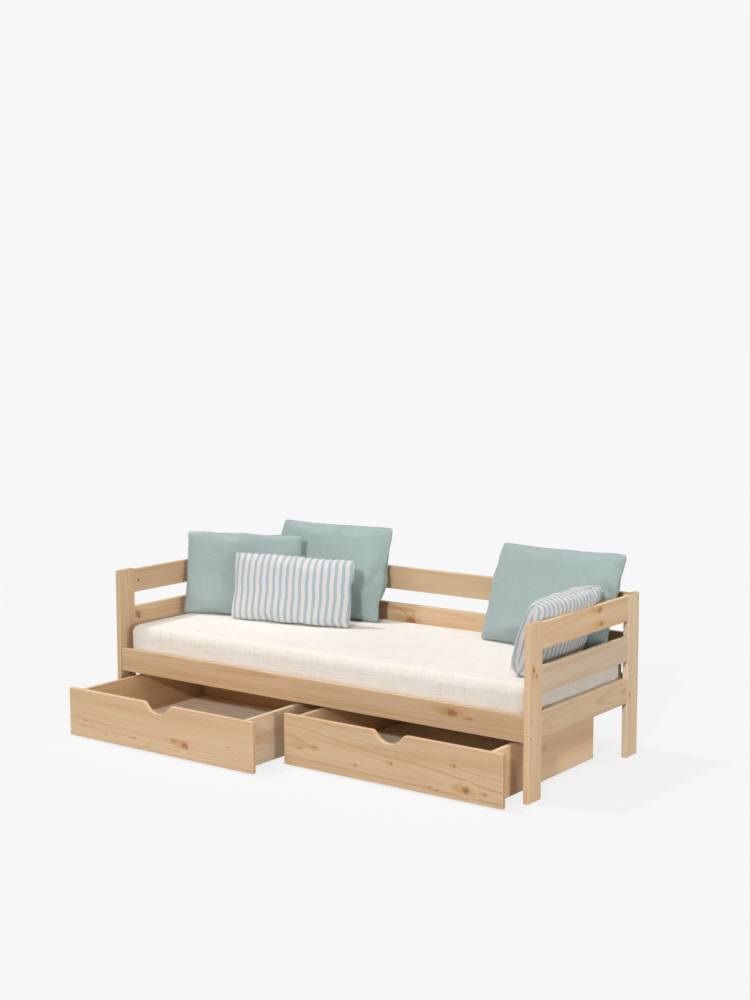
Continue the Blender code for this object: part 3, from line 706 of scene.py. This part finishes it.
def cloth_lengths(points, flat, index, counts):
    """Each place with the cloth laid out: across on the front, across on the back, and up.

    Across is measured along the filled surface from the middle of each row.
    """
    nx, ny = counts
    laid_out = np.column_stack([flat[:, 0], flat])
    for column, side in ((0, 1), (1, -1)):
        for j in range(ny + 1):
            row = [index[side, i, j] for i in range(nx + 1)]
            steps = np.linalg.norm(np.diff(points[row], axis=0), axis=1)
            along = np.concatenate(([0.0], steps.cumsum()))
            laid_out[row, column] = along - along[nx // 2]
    return laid_out


def press(points, limits):
    """Flatten a cushion where it rests: (axis, sign, level, top of what it rests on)."""
    for axis, sign, level, height in limits:
        touching = points[:, 2] < height
        past = touching & (sign * (points[:, axis] - level) > 0)
        points[past, axis] = level
    return points


# A direction that runs along no face, how far a line goes on past a crossing, and the room left
# between two cushions
PROBE = Vector((0.31, -0.90, 0.29)).normalized()
PROBE_STEP = 1e-5
CUSHION_GAP = 0.0015


def lies_inside(tree, point):
    """Whether a point is in a closed surface: a line from it crosses it an odd number of times."""
    crossings, start = 0, point.copy()
    while True:
        spot = tree.ray_cast(start, PROBE)[0]
        if spot is None:
            return crossings % 2 == 1
        crossings += 1
        start = spot + PROBE * PROBE_STEP


def part_ways(points, other_points, other_faces):
    """Push the points that lie inside another cushion out to its surface."""
    tree = BVHTree.FromPolygons([tuple(p) for p in other_points], other_faces)
    for point in points:
        here = Vector(point)
        if lies_inside(tree, here):
            spot = tree.find_nearest(here)[0]
            point[:] = spot + (spot - here).normalized() * CUSHION_GAP


# A direction that no part of a seam runs in
SEAM_ASIDE = Vector((0.31, 0.17, 0.93))


def seam_tube(points, border):
    """A thin closed roll along the seam, as points and faces."""
    path = [Vector(points[i]) for i in border]
    count = len(path)
    made, faces = [], []
    for number, here in enumerate(path):
        ahead = (path[(number + 1) % count] - path[number - 1]).normalized()
        across = ahead.cross(SEAM_ASIDE).normalized()
        over = ahead.cross(across)
        for step in range(SEAM_SIDES):
            angle = math.tau * step / SEAM_SIDES
            outward = across * math.cos(angle) + over * math.sin(angle)
            made.append(here + outward * SEAM_RADIUS)
    for number in range(count):
        ring, after = number * SEAM_SIDES, (number + 1) % count * SEAM_SIDES
        for step in range(SEAM_SIDES):
            beside = (step + 1) % SEAM_SIDES
            faces.append((ring + step, ring + beside, after + beside, after + step))
    return made, faces


def cloth_mesh(name, points, faces, laid_out, border):
    """Subdivide a cushion, add its seam roll, and keep the cloth laid out as a UV map.

    The first half of the faces is the front, and the second the back.
    """
    mesh = bpy.data.meshes.new(name)
    mesh.from_pydata([tuple(p) for p in points], [], faces)
    layer = mesh.uv_layers.new(name="cloth")
    for face in mesh.polygons:
        side = 2 * face.index // len(faces)
        for corner in face.loop_indices:
            spot = laid_out[mesh.loops[corner].vertex_index]
            layer.data[corner].uv = (spot[side], spot[2])
    holder = bpy.data.objects.new(name, mesh)
    bpy.context.scene.collection.objects.link(holder)
    soften = holder.modifiers.new("soft form", "SUBSURF")
    soften.levels = soften.render_levels = 1
    graph = bpy.context.evaluated_depsgraph_get()
    fine = bpy.data.meshes.new_from_object(holder.evaluated_get(graph))
    bpy.data.objects.remove(holder)
    bpy.data.meshes.remove(mesh)
    work = bmesh.new()
    work.from_mesh(fine)
    uv = work.loops.layers.uv["cloth"]
    tube_points, tube_faces = seam_tube(points, border)
    verts = [work.verts.new(p) for p in tube_points]
    for quad in tube_faces:
        face = work.faces.new([verts[i] for i in quad])
        for loop, i in zip(face.loops, quad):
            loop[uv].uv = laid_out[border[i // SEAM_SIDES], 1:]
    bmesh.ops.recalc_face_normals(work, faces=work.faces)
    work.to_mesh(fine)
    work.free()
    fine.shade_smooth()
    return fine


# Room between a cushion and what it rests on or leans against, and how far over a board's top edge
# it is still pressed flat
REST_GAP = 0.0004
LEAN_GAP = 0.0005
PRESS_OVER = 0.001


def make_cushions(finishes):
    """The five loose cushions, each settled against what it leans on."""
    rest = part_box("mattress")[1].z + REST_GAP
    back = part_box("rail_back_top")[0].y - LEAN_GAP
    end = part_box("rail_right_top")[0].x - LEAN_GAP
    rail_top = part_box("rail_back_top")[1].z + PRESS_OVER
    limits = {
        "cushion_green_centre": [(1, 1, back, rail_top)],
        "cushion_green_right": [(1, 1, back, rail_top)],
        "cushion_striped_right": [(0, 1, end, rail_top)],
    }
    made = {}
    for node, finish, turn, lean, pressure, fullness, slack, seed in CUSHIONS:
        points, faces, laid_out, border = shape_cushion(
            node, turn, lean, pressure, fullness, slack, seed)
        points = press(points, [(2, -1, rest, math.inf)] + limits.get(node, []))
        laid_out[:, :2] *= STRIPE_PERIOD / STRIPE_PITCH.get(node, STRIPE_PERIOD)
        made[node] = [points, faces, laid_out, border, finish]
    for front, behind in (("cushion_green_left", "cushion_green_centre"),
                          ("cushion_striped_left", "cushion_green_left"),
                          ("cushion_striped_left", "cushion_green_centre"),
                          ("cushion_striped_right", "cushion_green_right")):
        part_ways(made[front][0], made[behind][0], made[behind][1])
    for node, (points, faces, laid_out, border, finish) in made.items():
        mesh = cloth_mesh(f"{node}_cover", points, faces, laid_out, border)
        cover = piece(f"{node}_cover", mesh, finishes[finish])
        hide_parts(node)
        "green_linen" if finish == "linen" else "striped_cotton"


# ---------------------------------------------------------------- mattress

# How round its edges are, how many cells it has along, across and up, and how deep its waves are
MATTRESS_ROUNDING = 0.036
MATTRESS_CELLS = (110, 46, 12)
MATTRESS_SLACK = 0.0012


def make_mattress(material):
    """The mattress: soft rounded edges and a cover that is a little slack."""
    low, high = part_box("mattress")
    middle, half = (low + high) / 2, (high - low) / 2
    mesh = bpy.data.meshes.new("mattress_cover")
    work = bmesh.new()
    cloth = work.loops.layers.uv.new("cloth")
    seen = {}

    def corner(point):
        key = tuple(round(x, 6) for x in point)
        if key not in seen:
            seen[key] = work.verts.new(point)
        return seen[key]

    for axis in range(3):
        a, b = [k for k in range(3) if k != axis]
        for sign in (-1, 1):
            for i in range(MATTRESS_CELLS[a]):
                for j in range(MATTRESS_CELLS[b]):
                    quad, flat = [], []
                    for di, dj in ((0, 0), (1, 0), (1, 1), (0, 1)):
                        point = [0.0, 0.0, 0.0]
                        point[axis] = sign * half[axis]
                        point[a] = half[a] * (2 * (i + di) / MATTRESS_CELLS[a] - 1)
                        point[b] = half[b] * (2 * (j + dj) / MATTRESS_CELLS[b] - 1)
                        quad.append(corner(point))
                        flat.append((point[a], point[b]))
                    for loop, spot in zip(work.faces.new(quad).loops, flat):
                        loop[cloth].uv = spot
    for vert in work.verts:
        inner = Vector(max(MATTRESS_ROUNDING - h, min(h - MATTRESS_ROUNDING, c))
                       for h, c in zip(half, vert.co))
        outward = (vert.co - inner).normalized()
        vert.co = inner + outward * MATTRESS_ROUNDING
        wave = noise.noise(Vector((vert.co.x * 3.1, vert.co.y * 4.0, vert.co.z * 6.0))) \
            + 0.5 * noise.noise(Vector((vert.co.x * 9.0, vert.co.y * 11.0, 4.0)))
        vert.co -= outward * (MATTRESS_SLACK + MATTRESS_SLACK * wave)
        vert.co += middle
    bmesh.ops.recalc_face_normals(work, faces=work.faces)
    work.to_mesh(mesh)
    work.free()
    mesh.shade_smooth()
    cover = piece("mattress_cover", mesh, material)
    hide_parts("mattress")


# ---------------------------------------------------------------- fasteners

class Tree:
    """A geometry node group while it is put together."""

    def __init__(self, name):
        self.group = bpy.data.node_groups.new(name, "GeometryNodeTree")
        face = self.group.interface
        face.new_socket("Geometry", in_out="INPUT", socket_type="NodeSocketGeometry")
        face.new_socket("Geometry", in_out="OUTPUT", socket_type="NodeSocketGeometry")
        self.start = self.group.nodes.new("NodeGroupInput")
        self.end = self.group.nodes.new("NodeGroupOutput")

    def size(self, name, value, kind="NodeSocketFloat"):
        """A named input of the group."""
        socket = self.group.interface.new_socket(name, in_out="INPUT", socket_type=kind)
        socket.default_value = value
        return self.start.outputs[name]

    def node(self, kind, settings=None, values=None, out=0):
        """A new node, as one of its outputs."""
        return add_node(self.group, kind, settings, values).outputs[out]

    def times(self, socket, share):
        """A value times a number."""
        return self.node("ShaderNodeMath", {"operation": "MULTIPLY"}, {0: socket, 1: share})

    def vector(self, x=0.0, y=0.0, z=0.0):
        """A vector from up to three numbers."""
        return self.node("ShaderNodeCombineXYZ", values={0: x, 1: y, 2: z})


# A head's sides, its top as a share of its foot, and its slot in radii
HEAD_SIDES = 20
HEAD_TAPER = 0.82
SLOT_LENGTH = 1.5


def fastener_tree(material):
    """Slotted round heads, one on each point, square to the point's own facing."""
    t = Tree("fasteners")
    radius = t.size("Head radius", 0.0022)
    height = t.size("Head height", 0.0006)
    slot = t.size("Slot width", 0.0007)
    second = t.size("Second slot length", 0.0030)
    seed = t.size("Seed", 7, "NodeSocketInt")
    cut = t.node("GeometryNodeMeshCone", values={
        "Vertices": HEAD_SIDES, "Radius Top": t.times(radius, HEAD_TAPER), "Radius Bottom": radius,
        "Depth": height})
    lift = t.vector(z=height)
    for size in (t.vector(t.times(radius, SLOT_LENGTH), slot, height),
                 t.vector(slot, second, height)):
        bar = t.node("GeometryNodeMeshCube", values={"Size": size})
        bar = t.node("GeometryNodeTransform", values={"Geometry": bar, "Translation": lift})
        cut = t.node("GeometryNodeMeshBoolean", {"operation": "DIFFERENCE", "solver": "EXACT"},
                     {"Mesh 1": cut, "Mesh 2": bar})
    facing = t.node("GeometryNodeInputNamedAttribute", {"data_type": "FLOAT_VECTOR"},
                    {"Name": "facing"})
    align = t.node("FunctionNodeAlignEulerToVector", {"axis": "Z"}, {"Vector": facing})
    spin = t.node("FunctionNodeRandomValue", {"data_type": "FLOAT"},
                  {"Min": 0.0, "Max": math.pi, "Seed": seed}, out=1)
    whole = t.node("FunctionNodeRotateEuler", {"space": "LOCAL"},
                   {"Rotation": align, "Rotate By": t.vector(z=spin)})
    spots = t.node("GeometryNodeMeshToPoints", values={"Mesh": t.start.outputs["Geometry"]})
    placed = t.node("GeometryNodeInstanceOnPoints", values={
        "Points": spots, "Instance": cut, "Rotation": whole})
    solid = t.node("GeometryNodeRealizeInstances", values={"Geometry": placed})
    done = t.node("GeometryNodeSetMaterial", values={"Geometry": solid, "Material": material})
    t.group.links.new(done, t.end.inputs["Geometry"])
    return t.group


def make_fasteners(name, spots, material, sizes):
    """Fasteners of one kind at (place, facing) pairs, turned into a plain mesh."""
    mesh = bpy.data.meshes.new(name)
    mesh.from_pydata([place for place, _ in spots], [], [])
    attribute = mesh.attributes.new("facing", "FLOAT_VECTOR", "POINT")
    for item, (_, facing) in zip(attribute.data, spots):
        item.vector = facing
    holder = bpy.data.objects.new(name, mesh)
    bpy.context.scene.collection.objects.link(holder)
    maker = holder.modifiers.new("fasteners", "NODES")
    maker.node_group = fastener_tree(material)
    known = {item.name: item.identifier for item in maker.node_group.interface.items_tree
             if item.item_type == "SOCKET" and item.in_out == "INPUT"}
    for key, value in sizes.items():
        maker[known[key]] = value
    graph = bpy.context.evaluated_depsgraph_get()
    solid = bpy.data.meshes.new_from_object(holder.evaluated_get(graph))
    bpy.data.objects.remove(holder)
    bpy.data.meshes.remove(mesh)
    solid.shade_smooth()
    solid.set_sharp_from_angle(angle=math.radians(30.0))
    made = piece(name, solid, material)


# How far a screw's head and a nut stand clear of the wood, the height of a rail's two screws
# from its middle, and the place of the nuts from a rail's ends
SCREW_CLEAR = 0.0003
NUT_CLEAR = 0.0002
SCREW_LIFT = 0.0305
NUT_INSET = 0.025


def make_hardware(material):
    """Screws through the legs into the long rails, and the barrel nuts of the end rails."""
    screws, nuts = [], []
    for side, end in ((-1, "left"), (1, "right")):
        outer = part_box(f"leg_front_{end}")[1 if side > 0 else 0].x + side * SCREW_CLEAR
        for rail in ("rail_front", "rail_back_top", "rail_back_mid", "rail_back_low"):
            low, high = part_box(rail)
            centre = (low + high) / 2
            for lift in (-SCREW_LIFT, SCREW_LIFT):
                screws.append(((outer, centre.y, centre.z + lift), (side, 0.0, 0.0)))
        for level in ("top", "mid", "low"):
            low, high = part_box(f"rail_{end}_{level}")
            inner = (low.x if side > 0 else high.x) - side * NUT_CLEAR
            for y in (low.y + NUT_INSET, high.y - NUT_INSET):
                nuts.append(((inner, y, (low.z + high.z) / 2), (-side, 0.0, 0.0)))
    make_fasteners("leg_screws", screws, material, {"Head radius": 0.0026, "Seed": 3})
    make_fasteners("barrel_nuts", nuts, material, {
        "Head radius": 0.0048, "Head height": 0.0005, "Slot width": 0.0014,
        "Second slot length": 0.0014, "Seed": 9})


# ---------------------------------------------------------------- studio

def seen_directly(f):
    """One for a ray from the camera, or one that comes by way of a gloss or through glass."""
    rays = [f.node("ShaderNodeLightPath", out=out)
            for out in ("Is Camera Ray", "Is Glossy Ray", "Is Transmission Ray")]
    return (rays[0] + rays[1] + rays[2]).capped()


def make_floor():
    """A floor as pale as the backdrop, with a faint shadow on it."""
    f = Finish("floor")
    camera = f.node("ShaderNodeLightPath", out="Is Camera Ray")
    lit = f.node("ShaderNodeBsdfDiffuse",
                 values={"Color": f.blend(camera, FLOOR_BOUNCE, FLOOR_COLOUR)})
    plain = f.node("ShaderNodeEmission", values={"Color": BACKDROP, "Strength": 1.0})
    material = f.end(f.node("ShaderNodeMixShader", values={
        0: seen_directly(f) * (1.0 - FLOOR_SHADOW), 1: lit, 2: plain}))
    mesh = bpy.data.meshes.new("floor")
    work = bmesh.new()
    bmesh.ops.create_grid(work, x_segments=1, y_segments=1, size=FLOOR_SIZE / 2)
    bmesh.ops.translate(work, vec=(0.0, 0.0, -FLOOR_DROP), verts=work.verts)
    work.to_mesh(mesh)
    work.free()
    mesh.materials.append(material)
    floor = bpy.data.objects.new("floor", mesh)
    bpy.context.scene.collection.objects.link(floor)


def make_sky():
    """A weak white sky, with the backdrop where it is seen."""
    f = Finish("studio", world=True)
    sky = f.node("ShaderNodeBackground",
                 values={"Color": (1.0, 1.0, 1.0, 1.0), "Strength": SKY_STRENGTH})
    plain = f.node("ShaderNodeBackground", values={"Color": BACKDROP})
    bpy.context.scene.world = f.end(f.node("ShaderNodeMixShader", values={
        0: seen_directly(f), 1: sky, 2: plain}))


def make_lamps():
    """Suns with narrow and broad discs."""
    for name, (direction, strength, angle) in LAMPS.items():
        lamp = bpy.data.lights.new(name, "SUN")
        lamp.energy = strength
        lamp.angle = math.radians(angle)
        holder = bpy.data.objects.new(name, lamp)
        holder.rotation_mode = "QUATERNION"
        holder.rotation_quaternion = Vector(direction).to_track_quat("-Z", "Y")
        bpy.context.scene.collection.objects.link(holder)


def make_camera():
    """The photograph's camera."""
    forward = Vector((-math.sin(CAMERA_YAW) * math.cos(CAMERA_PITCH),
                      math.cos(CAMERA_YAW) * math.cos(CAMERA_PITCH), -math.sin(CAMERA_PITCH)))
    right = Vector((math.cos(CAMERA_YAW), math.sin(CAMERA_YAW), 0.0))
    up = right.cross(forward)
    rolled = right * math.cos(CAMERA_ROLL) + up * math.sin(CAMERA_ROLL)
    upright = up * math.cos(CAMERA_ROLL) - right * math.sin(CAMERA_ROLL)
    turn = Matrix((rolled, upright, -forward)).transposed().to_4x4()
    camera = bpy.data.cameras.new("camera")
    camera.lens = CAMERA_LENS
    camera.sensor_width = CAMERA_SENSOR
    camera.sensor_fit = "AUTO"
    camera.dof.use_dof = False
    holder = bpy.data.objects.new("camera", camera)
    holder.matrix_world = Matrix.Translation(CAMERA_PLACE) @ turn
    bpy.context.scene.collection.objects.link(holder)
    bpy.context.scene.camera = holder


dress_boards()
wear(drawer_ply(), [name for name in NODES if name.endswith("_bottom")])
wear(metal("zinc_steel", STEEL, 0.34, 1.0), [name for name in NODES if "_castor_" in name])
wear(metal("black_nylon", NYLON, 0.45, 0.0), [name for name in NODES if "_wheel_" in name])
bpy.context.scene.view_settings.view_transform = "Standard"
make_floor()
make_sky()
make_lamps()
make_camera()
make_mattress(ticking())
make_cushions({"linen": linen(), "stripe": striped_cotton()})
make_hardware(metal("dark_steel", DARK_STEEL, 0.5, 0.6))
